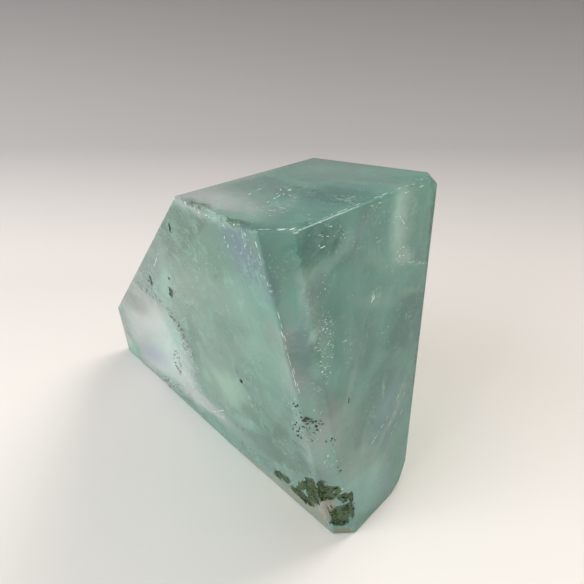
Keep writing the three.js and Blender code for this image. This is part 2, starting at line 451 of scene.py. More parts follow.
FEATHERS_AND_PAINTED_LIGHT = [
    # thin ragged wisps of bubbles right under a facet, with the same columns; a few are painted shade or
    # painted reflection instead, marked where they stand
    # the next two paint the crown grey as a painted reflection of the grey backdrop
    ("crown", -4.0, -9.0, 22, 17, 2.4, 30, "painted backdrop grey", 0.65),
    ("crown", -16.0, 5.0, 24, 11, 2, 35, "painted backdrop grey", 0.7),
    ("crown", -23.5, 7.0, 15, 8.0, 2.4, 38, "white frost", 0.95),
    ("crown", -10.6, 4.6, 14, 5, 2, -33, "white frost", 0.7),
    # painted shade: two thin dark bands along the right edge
    ("broad_right", 7.9, 16.0, 15, 0.7, 3, 90, "chlorite haze and painted edge shade", 0.5),
    ("broad_right", 6.9, -4.0, 13, 0.7, 3, 88, "chlorite haze and painted edge shade", 0.5),
    ("broad_right", -20.6, 22.4, 6.0, 2.0, 2, 6, "mint frost", 0.6),
    ("broad_right", -15.2, 24.0, 4.0, 2.2, 2, 26, "mint frost", 0.6),
    ("broad_right", -11.8, 24.8, 4.4, 2.6, 2, 50, "lavender milk", 0.9),
    ("broad_right", -23.4, 19.9, 5.4, 0.9, 2, 97, "mint frost", 0.6),
    ("broad_right", -21.6, 13.0, 3.4, 0.6, 2, 70, "mint frost", 0.9),
    ("broad_right", -21.4, 20.0, 4.2, 1.8, 2, 60, "lavender milk", 0.8),
    ("broad_right", -19.3, 11.0, 7.4, 2.4, 2, 92, "mint frost", 0.35),
    ("broad_right", -21.8, 7.6, 3.2, 2.8, 2, 20, "mint frost", 0.6),
    ("broad_right", -1.6, 23.6, 8.5, 3.0, 2, 84, "bright mint", 0.95),
    ("broad_right", 0.2, 17.8, 4.4, 2.4, 2, -18, "bright mint", 0.95),
    ("broad_right", 4.6, 15.3, 5.4, 0.5, 2, -17, "white milk", 0.9),
    ("broad_right", 3.0, 11.2, 6.0, 1.1, 2, -12, "white milk", 0.6),
    ("broad_right", -6.0, 12.6, 10.0, 1.8, 2, -20, "white milk", 0.55),
    # a painted glint, as a small white spot
    ("broad_right", -8.0, 14.6, 1.2, 0.7, 2, 62, "white milk", 1.0),
    ("broad_right", -8.0, 20.0, 6.0, 1.8, 2, -40, "white milk", 0.6),
    ("broad_right", 0.5, -11.0, 8.0, 1.4, 2, 42, "white milk", 0.85),
    ("broad_right", 2.5, -7.0, 5.0, 1.1, 2, 56, "white milk", 0.85),
    ("broad_right", -4.0, -14.5, 6.0, 1.5, 2, 44, "white milk", 0.75),
    ("broad_right", -3.5, -3.6, 3.4, 0.8, 2, 86, "white milk", 0.95),
    ("broad_right", -13.0, 1.5, 7.0, 1.6, 2, 70, "mint frost", 0.6),
    ("broad_right", -10.5, -14.0, 6.0, 1.8, 2, 110, "white milk", 0.6),
    ("narrow_front", 4.6, 6.0, 7.0, 1.3, 2, 96, "white milk", 0.8),
    ("narrow_front", 8.0, -4.0, 5.4, 1.0, 2, 98, "white milk", 0.8),
    ("narrow_front", 3.0, 19.0, 7.0, 1.2, 2, 94, "lavender milk", 0.7),
    ("broad_left", 27.0, 4.0, 8.0, 2.2, 2, 76, "white milk", 0.7),
    ("broad_left", 20.5, -9.5, 7.0, 2.8, 2, 62, "white milk", 0.6),
    ("broad_left", 18.8, -10.9, 8.0, 4.4, 3, 34, "dull green", 0.6),
    ("broad_right", -5.5, -24.0, 13, 5.4, 3, -36, "white milk", 0.5),
    # painted shade: a thin dark line under the crown's edge on the broad left facet
    ("broad_left", 15.3, 33.5, 6.4, 0.8, 2, 1, "chlorite haze and painted edge shade", 0.8),
    ("broad_left", 23.7, 33.4, 5.4, 0.8, 2, -1, "chlorite haze and painted edge shade", 0.8),
    ("broad_left", -6.0, 14.0, 16.0, 2.6, 2, 62, "white milk", 0.6),
    ("broad_left", -2.5, 3.0, 13.0, 2.2, 2, 74, "dull green", 0.8),
    ("broad_left", 7.0, -12.0, 10.0, 2.4, 2, 24, "white milk", 0.55),
    ("crown", -22.0, 0.5, 7.5, 1.2, 2, 24, "white milk", 0.8),
    ("crown", -24.0, -4.0, 6.5, 1.1, 2, -8, "white milk", 0.7),
    ("crown", -14.0, -4.0, 10.0, 2.0, 2, 40, "white milk", 0.6),
    ("crown", -30.0, 4.0, 8.0, 1.8, 2, 62, "white milk", 0.8),
    ("crown", -16.0, -16.0, 9.0, 1.6, 2, 70, "white milk", 0.5),
    ("back", 17.0, -28.0, 12.0, 2.2, 2, 60, "white milk", 0.7),
    ("back", 22.0, -34.0, 10.0, 1.8, 2, 20, "lavender milk", 0.7),
    ("back_right", -4.0, 2.0, 14.0, 2.4, 2, 70, "white milk", 0.7),
    ("back_right", 6.0, -8.0, 10.0, 2.0, 2, 40, "mint frost", 0.6),
    ("back_left_roof", 2.0, 2.0, 16.0, 2.6, 2, 50, "white milk", 0.7),
    ("back_left_roof", -8.0, -6.0, 12.0, 2.0, 2, 20, "lavender milk", 0.7),
    ("left_end", -27.6, -26.5, 6.0, 2.0, 2, 60, "white milk", 0.7),
]
BRUISE_SPREAD = 1.04
BRUISE = (
    "broad_left", SCAR["u"], SCAR["w"], BRUISE_SPREAD * SCAR["long"], BRUISE_SPREAD * SCAR["short"],
    4, SCAR["turn"], "white frost", 0.85,
)
# whiter frost across the scar's floor and lower edge, partly a painted sheen where it reflects the lit
# floor
SCAR_FROST_AND_SHEEN = [
    ("broad_left", -26.5, -4.7, 12, 5.6, 3, 27, "white frost", 0.95),
    ("broad_left", -13.2, -0.8, 9.0, 5.0, 3, 78, "mint frost", 0.95),
    ("broad_left", -18.8, -17.0, 14, 5.4, 3, 26, "white frost", 1.0),
    ("broad_left", -30.0, -1.5, 12.0, 4.6, 3, 20, "grey green", 0.6),
    ("broad_left", -31.3, -19.6, 17, 4.8, 3, 22, "white frost", 1.0),
    ("broad_left", -32.0, -17.4, 12, 4.0, 3, 20, "lavender frost", 0.8),
    ("broad_left", -12.6, -18.3, 13, 3.2, 3, 13, "white frost", 0.95),
    # painted reflection of the floor at the toe
    ("narrow_front", 7.4, -16.4, 3.4, 4.4, 2.5, 0, "painted floor reflection", 0.9),
    ("broad_left", -26.0, -21.5, 9, 1.4, 3, 12, "mint frost", 0.9),
]
CHLORITE_STAINS = [
    ("broad_left", 14.4, -20.2, 2.0, 1.0, 2, 40, "chlorite stain", 0.9),
    ("broad_left", 16.6, -19.4, 1.9, 1.0, 2, 39, "chlorite stain", 0.85),
    ("broad_left", 21.0, -20.4, 3.4, 1.4, 2, 12, "chlorite stain", 0.92),
    ("broad_left", 21.8, -16.9, 4.0, 0.8, 2, 53, "chlorite stain", 0.92),
    ("broad_left", 24.6, -14.0, 2.9, 1.1, 2, 55, "chlorite stain", 0.92),
    ("broad_left", 25.0, -16.2, 4.0, 1.6, 2, 63, "chlorite stain", 0.92),
    ("broad_left", 27.3, -12.2, 1.4, 0.5, 2, 73, "chlorite stain", 0.92),
    ("narrow_front", 8.2, -12.2, 1.9, 2.1, 2, 0, "chlorite haze and painted edge shade", 0.9),
    ("narrow_front", 6.9, -12.3, 1.0, 2.2, 2, 0, "chlorite stain", 0.8),
    ("narrow_front", 10.5, -13.7, 0.85, 1.2, 2, 0, "chlorite stain", 0.92),
    ("broad_right", -11.9, -19.9, 1.6, 0.7, 2, -61, "chlorite stain", 0.85),
    ("broad_right", -11.4, -22.6, 2.9, 0.7, 2, -79, "chlorite stain", 0.85),
    ("narrow_front", 10.1, -18.0, 1.5, 2.7, 2, 4, "chlorite haze and painted edge shade", 0.95),
    ("narrow_front", 9.3, -18.4, 0.6, 2.2, 2, 12, "chlorite stain", 0.92),
    ("narrow_front", 9.9, -20.0, 1.6, 1.0, 2, -20, "chlorite stain", 0.92),
    ("narrow_front", 10.9, -16.5, 0.65, 1.5, 2, 10, "chlorite stain", 0.92),
    ("narrow_front", 8.4, -17.3, 0.18, 1.9, 2, 14, "chlorite stain", 0.92),
    ("narrow_front", 8.9, -16.3, 0.15, 1.3, 2, 12, "chlorite stain", 0.92),
]
ZONE_CORE = 0.35
FEATHER_CORE = 0.15
BRUISE_CORE = 0.6
TINT_CORE = 0.3
STAIN_CORE = 0.86
CLOUD_SIZE = 9 * MM
CLOUD_DRIFT = 11 * MM
CLOUD_COLOUR = "#6d9e8e"
RAG_SIZE = 1.3 * MM
RAG_DRIFT = 2.4 * MM
WISP_SIZE = 2.2 * MM
WISP_COLOUR = "#b0e6d4"
FLECK_SIZE = 0.45 * MM
FLECK_FLOCK = 5 * MM
FLECK_COLOUR = "#d6f8ec"
# the foot is painted beige as a reflection of the pale floor
FOOT_FLOOR_REFLECTION_COLOUR = "#b8b898"
FOOT_FLOOR_REFLECTION_SHARE = 0.75
# the scar's pale frost, partly a painted sheen
FROST_AND_SHEEN_COLOUR = "#f2fff8"
MOSS_COLOUR = "#7fa25e"
# pale wear on the rounded edges and chips, partly a painted edge highlight
CHIP_AND_EDGE_HIGHLIGHT_COLOUR = "#e4f6ee"
CHIP_AND_EDGE_HIGHLIGHT_SHARE = 0.45
# the pits are painted a darker grey green
PIT_DARK_COLOUR = "#52645a"
PIT_DARK_SHARE = 0.6
POLISH_WAVE = 6 * MM
POLISH_HEIGHT = 0.012 * MM
MATT_GRAIN = 0.7 * MM
MATT_HEIGHT = 0.12 * MM
MILK_SHARE = 0.25
MILK_REACH = (0.0032, 0.0026, 0.0028)  # in metres, of red, green and blue light


def linear(code):
    """An sRGB hex colour as the linear RGBA that a shader takes."""
    parts = [int(code[place:place + 2], 16) / 255 for place in (1, 3, 5)]
    return (*[part / 12.92 if part <= 0.04045 else ((part + 0.055) / 1.055) ** 2.4 for part in parts], 1)


def node(tree, kind, inputs=None, **settings):
    """Adds a node with its settings. An input is set to a value, or linked where it gets a socket."""
    made = tree.nodes.new(kind)
    for name, value in settings.items():
        setattr(made, name, value)
    for socket, value in (inputs or {}).items():
        if isinstance(value, bpy.types.NodeSocket):
            tree.links.new(value, made.inputs[socket])
        else:
            made.inputs[socket].default_value = value
    return made


def bare_material(name):
    """A new material, its emptied node tree and the object's own coordinates in it."""
    material = bpy.data.materials.new(name)
    material.use_nodes = True
    tree = material.node_tree
    tree.nodes.clear()
    return material, tree, node(tree, "ShaderNodeTexCoord").outputs["Object"]


polished_fluorite, tree, place = bare_material("polished fluorite")
wear = node(tree, "ShaderNodeAttribute", attribute_name="surface")
mark = node(tree, "ShaderNodeSeparateColor", {"Color": wear.outputs["Color"]})
worn_and_highlight, matt, pitted = (mark.outputs[channel] for channel in ("Red", "Green", "Blue"))

clouds = node(tree, "ShaderNodeTexNoise", {
    "Vector": place, "Scale": 1 / CLOUD_SIZE, "Detail": 6.0, "Roughness": 0.62, "Distortion": 0.6,
})
tatters = node(tree, "ShaderNodeTexNoise", {"Vector": place, "Scale": 1 / RAG_SIZE, "Detail": 4.0})
drifted = []
for noise, reach in ((clouds, CLOUD_DRIFT), (tatters, RAG_DRIFT)):
    centred = node(tree, "ShaderNodeVectorMath", {
        0: noise.outputs["Color"], 1: (0.5, 0.5, 0.5),
    }, operation="SUBTRACT")
    push = node(tree, "ShaderNodeVectorMath", {0: centred.outputs[0], "Scale": reach}, operation="SCALE")
    moved = node(tree, "ShaderNodeVectorMath", {0: place, 1: push.outputs[0]}, operation="ADD")
    drifted.append(moved.outputs[0])
warped, ragged = drifted


def zoned(tree, where, colour, zones, core):
    """Lays soft-edged ellipsoids of colour under the facets, each full inside its core share."""
    for facet, u, w, long, high, deep, turn, name, strength in zones:
        seat = placed_on(facet, u, w, turn)
        ball = node(tree, "ShaderNodeTexGradient", {"Vector": where}, gradient_type="SPHERICAL")
        ball.texture_mapping.vector_type = "TEXTURE"
        ball.texture_mapping.translation = seat.translation
        ball.texture_mapping.rotation = seat.to_euler()
        ball.texture_mapping.scale = Vector((long, high, deep)) * MM
        share = node(tree, "ShaderNodeMapRange", {
            "Value": ball.outputs["Fac"], "From Max": 1 - core, "To Max": strength,
        }, interpolation_type="SMOOTHSTEP")
        colour = node(tree, "ShaderNodeMix", {
            0: share.outputs[0], 6: colour, 7: linear(ZONE_COLOURS[name]),
        }, data_type="RGBA").outputs[2]
    return colour


colour = zoned(tree, warped, linear(BODY_COLOUR), GROWTH_ZONES, ZONE_CORE)
cloud_share = node(tree, "ShaderNodeMapRange", {
    "Value": clouds.outputs["Fac"], "From Min": 0.4, "From Max": 0.66, "To Min": 0.0, "To Max": 0.5,
})
colour = node(tree, "ShaderNodeMix", {
    0: cloud_share.outputs[0], 6: colour, 7: linear(CLOUD_COLOUR),
}, data_type="RGBA").outputs[2]
colour = zoned(tree, ragged, colour, FEATHERS_AND_PAINTED_LIGHT, FEATHER_CORE)

stretch = node(tree, "ShaderNodeMapping", {
    "Vector": warped, "Rotation": (0.5, 0.35, 0.8), "Scale": (1.0, 0.28, 0.6),
})
wisps = node(tree, "ShaderNodeTexNoise", {
    "Vector": stretch.outputs[0], "Scale": 1 / WISP_SIZE, "Detail": 5.0, "Roughness": 0.7,
})
wisp_share = node(tree, "ShaderNodeMapRange", {
    "Value": wisps.outputs["Fac"], "From Min": 0.52, "From Max": 0.74, "To Min": 0.0, "To Max": 0.75,
})
flecks = node(tree, "ShaderNodeTexNoise", {"Vector": place, "Scale": 1 / FLECK_SIZE, "Detail": 3.0})
flock = node(tree, "ShaderNodeTexNoise", {"Vector": warped, "Scale": 1 / FLECK_FLOCK, "Detail": 2.0})
fleck_level = node(tree, "ShaderNodeMath", {
    0: flecks.outputs["Fac"], 1: flock.outputs["Fac"],
}, operation="MULTIPLY")
fleck_share = node(tree, "ShaderNodeMapRange", {
    "Value": fleck_level.outputs[0], "From Min": 0.36, "From Max": 0.46, "To Min": 0.0, "To Max": 0.8,
})

# The marks: red is edges and chips, worn pale and partly a painted edge highlight; green is chips and the
# scar, matt; blue is pits; and alpha is the foot, which gets a painted reflection of the floor.
foot = node(tree, "ShaderNodeMath", {0: 1.0, 1: wear.outputs["Alpha"]}, operation="SUBTRACT")
foot_reflection_share = node(tree, "ShaderNodeMath", {0: foot.outputs[0], 1: FOOT_FLOOR_REFLECTION_SHARE}, operation="MULTIPLY")
frost = node(tree, "ShaderNodeMapRange", {
    "Value": clouds.outputs["Fac"], "From Min": 0.35, "From Max": 0.65, "To Min": 0.35, "To Max": 0.2,
})
unworn = node(tree, "ShaderNodeMath", {0: matt, 1: worn_and_highlight}, operation="SUBTRACT", use_clamp=True)
frost_and_sheen_share = node(tree, "ShaderNodeMath", {
    0: frost.outputs[0], 1: unworn.outputs[0],
}, operation="MULTIPLY")
for share, code in (
    (wisp_share, WISP_COLOUR),
    (fleck_share, FLECK_COLOUR),
    (foot_reflection_share, FOOT_FLOOR_REFLECTION_COLOUR),
    (frost_and_sheen_share, FROST_AND_SHEEN_COLOUR),
):
    colour = node(tree, "ShaderNodeMix", {
        0: share.outputs[0], 6: colour, 7: linear(code),
    }, data_type="RGBA").outputs[2]
colour = zoned(tree, warped, colour, [BRUISE], BRUISE_CORE)
colour = zoned(tree, ragged, colour, SCAR_FROST_AND_SHEEN, TINT_CORE)

stained = zoned(tree, ragged, colour, CHLORITE_STAINS, STAIN_CORE)
stain_gap = node(tree, "ShaderNodeVectorMath", {
    0: stained, 1: colour,
}, operation="DISTANCE").outputs["Value"]
moss = node(tree, "ShaderNodeMapRange", {
    "Value": flecks.outputs["Fac"], "From Min": 0.48, "From Max": 0.62, "To Min": 0.0, "To Max": 1.2,
})
moss_share = node(tree, "ShaderNodeMath", {
    0: moss.outputs[0], 1: stain_gap,
}, operation="MULTIPLY", use_clamp=True)
worn_and_highlight_share = node(tree, "ShaderNodeMath", {0: worn_and_highlight, 1: CHIP_AND_EDGE_HIGHLIGHT_SHARE}, operation="MULTIPLY")
pit_dark_share = node(tree, "ShaderNodeMath", {0: pitted, 1: PIT_DARK_SHARE}, operation="MULTIPLY")
colour = stained
for share, code in ((moss_share, MOSS_COLOUR), (worn_and_highlight_share, CHIP_AND_EDGE_HIGHLIGHT_COLOUR), (pit_dark_share, PIT_DARK_COLOUR)):
    colour = node(tree, "ShaderNodeMix", {
        0: share.outputs[0], 6: colour, 7: linear(code),
    }, data_type="RGBA").outputs[2]

rough = node(tree, "ShaderNodeMapRange", {
    "Value": clouds.outputs["Fac"], "From Min": 0.3, "From Max": 0.7, "To Min": 0.09, "To Max": 0.17,
}).outputs[0]
for share, amount in ((worn_and_highlight, 0.04), (matt, 0.1), (pitted, 0.35), (stain_gap, 0.6)):
    rough = node(tree, "ShaderNodeMath", {
        0: share, 1: amount, 2: rough,
    }, operation="MULTIPLY_ADD").outputs[0]

waves = node(tree, "ShaderNodeTexNoise", {"Vector": place, "Scale": 1 / POLISH_WAVE, "Detail": 2.0})
relief = node(tree, "ShaderNodeBump", {
    "Height": waves.outputs["Fac"], "Strength": 0.6, "Distance": POLISH_HEIGHT,
})
grain = node(tree, "ShaderNodeTexNoise", {"Vector": place, "Scale": 1 / MATT_GRAIN, "Detail": 4.0})
grain_height = node(tree, "ShaderNodeMath", {0: grain.outputs["Fac"], 1: matt}, operation="MULTIPLY")
relief = node(tree, "ShaderNodeBump", {
    "Height": grain_height.outputs[0],
    "Strength": 0.5,
    "Distance": MATT_HEIGHT,
    "Normal": relief.outputs[0],
})

surface = node(tree, "ShaderNodeBsdfPrincipled", {
    "Base Color": colour,
    "Roughness": rough,
    "Normal": relief.outputs[0],
    "IOR": FLUORITE_IOR,
    "Transmission Weight": CLEAR_SHARE,
    "Subsurface Weight": MILK_SHARE,
    "Subsurface Radius": MILK_REACH,
    "Subsurface Scale": 1.0,
})
tint = node(tree, "ShaderNodeVolumeAbsorption", {"Color": linear(TINT_COLOUR), "Density": TINT_DENSITY})
node(tree, "ShaderNodeOutputMaterial", {
    "Surface": surface.outputs["BSDF"], "Volume": tint.outputs["Volume"],
})
stone.data.materials.append(polished_fluorite)
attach(stone, "root")
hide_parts("fluorite")


# ---- Green mineral ------------------------------------------------------------------------------
# Chlorite-like plates grown into the fluorite at its foot, in three mossy clusters of ragged grains.
# Most lie open on the polished faces, where they stand a few hundredths of a millimetre proud. They
# are dull and mossy, from nearly black to olive.
GRAIN_CLUSTERS = [
    # facet, u, w, half length, half width, turn, grains, smallest and largest grain
    ("broad_left", 14.4, -20.2, 1.8, 0.8, 40, 26, 0.16, 0.42),
    ("broad_left", 16.5, -19.6, 1.8, 0.8, 39, 26, 0.16, 0.4),
    ("broad_left", 21.0, -20.6, 3.0, 1.3, 12, 60, 0.2, 0.55),
    ("broad_left", 21.8, -16.9, 3.7, 0.6, 53, 40, 0.16, 0.42),
    ("broad_left", 24.6, -14.0, 2.6, 0.9, 55, 36, 0.18, 0.5),
    ("broad_left", 25.0, -16.2, 3.7, 1.4, 63, 80, 0.2, 0.65),
    ("broad_left", 27.3, -12.0, 1.0, 0.4, 73, 10, 0.12, 0.3),
    ("narrow_front", 8.0, -12.2, 1.6, 1.8, 0, 40, 0.16, 0.5),
    ("narrow_front", 6.9, -12.3, 0.9, 1.9, 0, 40, 0.18, 0.5),
    ("narrow_front", 10.5, -13.7, 0.8, 1.0, 0, 26, 0.14, 0.4),
    ("broad_right", -11.8, -19.9, 1.4, 0.6, -61, 20, 0.12, 0.36),
    ("broad_right", -11.2, -22.6, 2.6, 0.6, -79, 34, 0.12, 0.36),
    ("narrow_front", 9.4, -18.5, 0.6, 2.0, 12, 40, 0.16, 0.45),
    ("narrow_front", 9.9, -20.0, 1.4, 0.9, -20, 50, 0.18, 0.5),
    ("narrow_front", 10.9, -16.5, 0.6, 1.3, 10, 26, 0.14, 0.4),
    ("narrow_front", 8.4, -17.3, 0.2, 1.9, 14, 22, 0.1, 0.32),
]
PROBE_DEPTH = 0.3
RIM_MARGIN = 0.1 * MM
OPEN_GRAINS = 0.6
GRAIN_DEPTH = 2.6
CHLORITE_COLOURS = [(0.36, "#121c0c"), (0.48, "#25361c"), (0.6, "#3b522e"), (0.72, "#5f7350")]
CHLORITE_PATCH = 1.1 * MM
CHLORITE_GRIT = 0.25 * MM
CHLORITE_RELIEF = 0.05 * MM


def spots(u, w, long, wide, turn, count, dice):
    """Random places in an ellipse on a facet, in mm."""
    bend = math.radians(turn)
    for _ in range(count):
        reach, angle = math.sqrt(dice.random()), dice.uniform(0, math.tau)
        along, across = long * reach * math.cos(angle), wide * reach * math.sin(angle)
        yield (
            u + along * math.cos(bend) - across * math.sin(bend),
            w + along * math.sin(bend) + across * math.cos(bend),
        )


def small_shapes(count, size, seed):
    """A few ragged twenty-faced grains of about unit size, to be copied."""
    shapes = []
    for number in range(count):
        bpy.ops.object.select_all(action="DESELECT")
        bpy.ops.mesh.primitive_ico_sphere_add(subdivisions=1, radius=1)
        bpy.ops.object.mode_set(mode="EDIT")
        bpy.ops.transform.vertex_random(offset=0.5, uniform=0.6, normal=0.3, seed=seed + number)
        bpy.ops.transform.resize(value=size)
        bpy.ops.object.mode_set(mode="OBJECT")
        shapes.append(bpy.context.object)
    return shapes


def strewn(name, shapes, places, material):
    """Copies the shapes to their places, each with its own mesh, and joins them into one piece."""
    copies = []
    for number, matrix in enumerate(places):
        copy = shapes[number % len(shapes)].copy()
        copy.data = copy.data.copy()
        copy.data.transform(matrix)
        bpy.context.scene.collection.objects.link(copy)
        copies.append(copy)
    for shape in shapes:
        bpy.data.objects.remove(shape)
    bpy.ops.object.select_all(action="DESELECT")
    for copy in copies:
        copy.select_set(True)
    bpy.context.view_layer.objects.active = copies[0]
    bpy.ops.object.join()
    piece = bpy.context.object
    piece.name = name
    piece.data.materials.append(material)
    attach(piece, "root")
    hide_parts("fluorite")
    return piece


def on_facet(facet, u, w):
    """Whether the point a little under a facet lies in the stone, and not past the facet's rim."""
    point = under(facet, u, w, PROBE_DEPTH)
    return all(point.dot(normal) < height - RIM_MARGIN for normal, height in planes)


def lying_at(facet, u, w, depth, size, turn, tip=0.0):
    """A small shape's place under a facet: size in mm along, across and through, tip in degrees."""
    matrix = placed_on(facet, u, w, turn, -depth) @ Matrix.Rotation(math.radians(tip), 4, "X")
    return matrix @ Matrix.Diagonal((*(Vector(size) * MM), 1))


chlorite, tree, place = bare_material("chlorite as grown")
patches = node(tree, "ShaderNodeTexNoise", {"Vector": place, "Scale": 1 / CHLORITE_PATCH, "Detail": 5.0})
ramp = node(tree, "ShaderNodeValToRGB", {"Fac": patches.outputs["Fac"]})
for step, (level, code) in enumerate(CHLORITE_COLOURS):
    stop = ramp.color_ramp.elements[step] if step < 2 else ramp.color_ramp.elements.new(level)
    stop.position = level
    stop.color = linear(code)
grit = node(tree, "ShaderNodeTexNoise", {"Vector": place, "Scale": 1 / CHLORITE_GRIT, "Detail": 2.0})
relief = node(tree, "ShaderNodeBump", {
    "Height": grit.outputs["Fac"], "Strength": 0.5, "Distance": CHLORITE_RELIEF,
})
flake = node(tree, "ShaderNodeBsdfPrincipled", {
    "Base Color": ramp.outputs["Color"],
    "Roughness": 0.8,
    "Specular IOR Level": 0.2,
    "Normal": relief.outputs["Normal"],
})
node(tree, "ShaderNodeOutputMaterial", {"Surface": flake.outputs["BSDF"]})

dice = random.Random(21)
places = []
for facet, u, w, long, wide, turn, count, smallest, largest in GRAIN_CLUSTERS:
    for spot_u, spot_w in spots(u, w, long, wide, turn, count, dice):
        size = dice.uniform(smallest, largest)
        lies_open = dice.random() < OPEN_GRAINS
        depth = 0.1 * size if lies_open else dice.uniform(0.3 * size, GRAIN_DEPTH)
        tip = 0 if lies_open else dice.uniform(-60, 60)
        if on_facet(facet, spot_u, spot_w):
            shape = (size, size * dice.uniform(0.4, 1), size * 0.5)
            places.append(lying_at(facet, spot_u, spot_w, depth, shape, dice.uniform(0, 360), tip))
strewn("green_mineral", small_shapes(5, (1, 1, 0.3), 11), places, chlorite)


# ---- Dark specks --------------------------------------------------------------------------------
# Tiny black-brown crystals scattered through the stone, mostly in a loose flock where the narrow
# front facet meets the broad left one, and strung along the seam on its other side. They are sharp
# dark dots with a faint glint.
SPECK_FLOCKS = [
    # facet, u, w, half length, half width, turn, specks, smallest and largest speck
    ("broad_left", 27.3, 4.4, 1.2, 3.0, 20, 40, 0.07, 0.24),
    ("broad_left", 26.2, -0.2, 2.6, 1.4, 40, 56, 0.07, 0.24),
    ("narrow_front", 4.4, 4.1, 1.0, 0.8, 0, 20, 0.14, 0.44),
    ("narrow_front", 5.8, 3.2, 0.9, 1.2, 0, 14, 0.12, 0.34),
    ("narrow_front", 3.8, 1.2, 1.8, 1.8, 0, 50, 0.06, 0.2),
    ("narrow_front", 7.8, -0.2, 0.9, 1.0, 0, 10, 0.09, 0.26),
    ("narrow_front", 9.6, -5.0, 0.5, 3.8, -8, 34, 0.1, 0.26),
    ("narrow_front", 9.2, 0.0, 0.5, 1.6, -8, 12, 0.1, 0.24),
    ("broad_left", 11.4, 0.6, 0.35, 0.3, 0, 4, 0.14, 0.3),
    ("broad_left", 14.4, 3.1, 0.8, 0.6, 0, 8, 0.06, 0.14),
    ("broad_left", -8.6, 6.2, 3.2, 1.9, 85, 60, 0.05, 0.17),
    ("broad_left", -7.6, -0.1, 5.0, 1.8, 74, 56, 0.05, 0.16),
    ("broad_left", -16.4, -10.7, 5.5, 1.7, 66, 56, 0.05, 0.16),
    ("broad_left", -26.9, -23.0, 6.0, 1.8, 18, 50, 0.05, 0.18),
    ("broad_left", -18.3, -22.2, 4.8, 1.8, 18, 44, 0.05, 0.17),
    ("broad_left", -14.0, 10.3, 1.9, 0.7, 69, 10, 0.06, 0.2),
    ("broad_right", -14.2, 0.0, 5.0, 9.0, 0, 22, 0.04, 0.11),
    ("broad_left", 20.0, -8.0, 6.0, 7.0, 0, 34, 0.04, 0.12),
]

SPECK_DEPTHS = (0.1, 0.1, 0.1, 1.5)  # in the speck's own sizes, so most reach the surface

dark_grain, tree, place = bare_material("dark ore grain as grown")
patches = node(tree, "ShaderNodeTexNoise", {"Vector": place, "Scale": 1 / (0.6 * MM), "Detail": 2.0})
mix = node(tree, "ShaderNodeMix", {
    0: patches.outputs["Fac"], 6: linear("#161c18"), 7: linear("#46523f"),
}, data_type="RGBA")
speck = node(tree, "ShaderNodeBsdfPrincipled", {"Base Color": mix.outputs[2], "Roughness": 0.4})
node(tree, "ShaderNodeOutputMaterial", {"Surface": speck.outputs["BSDF"]})

dice = random.Random(8)
places = []
for facet, u, w, long, wide, turn, count, smallest, largest in SPECK_FLOCKS:
    for spot_u, spot_w in spots(u, w, long, wide, turn, count, dice):
        size = dice.uniform(smallest, largest)
        depth = dice.choice(SPECK_DEPTHS) * size
        if on_facet(facet, spot_u, spot_w):
            shape = (size, size * dice.uniform(0.4, 1), size)
            places.append(lying_at(facet, spot_u, spot_w, depth, shape, dice.uniform(0, 360)))
strewn("dark_specks", small_shapes(3, (1, 1, 0.5), 31), places, dark_grain)
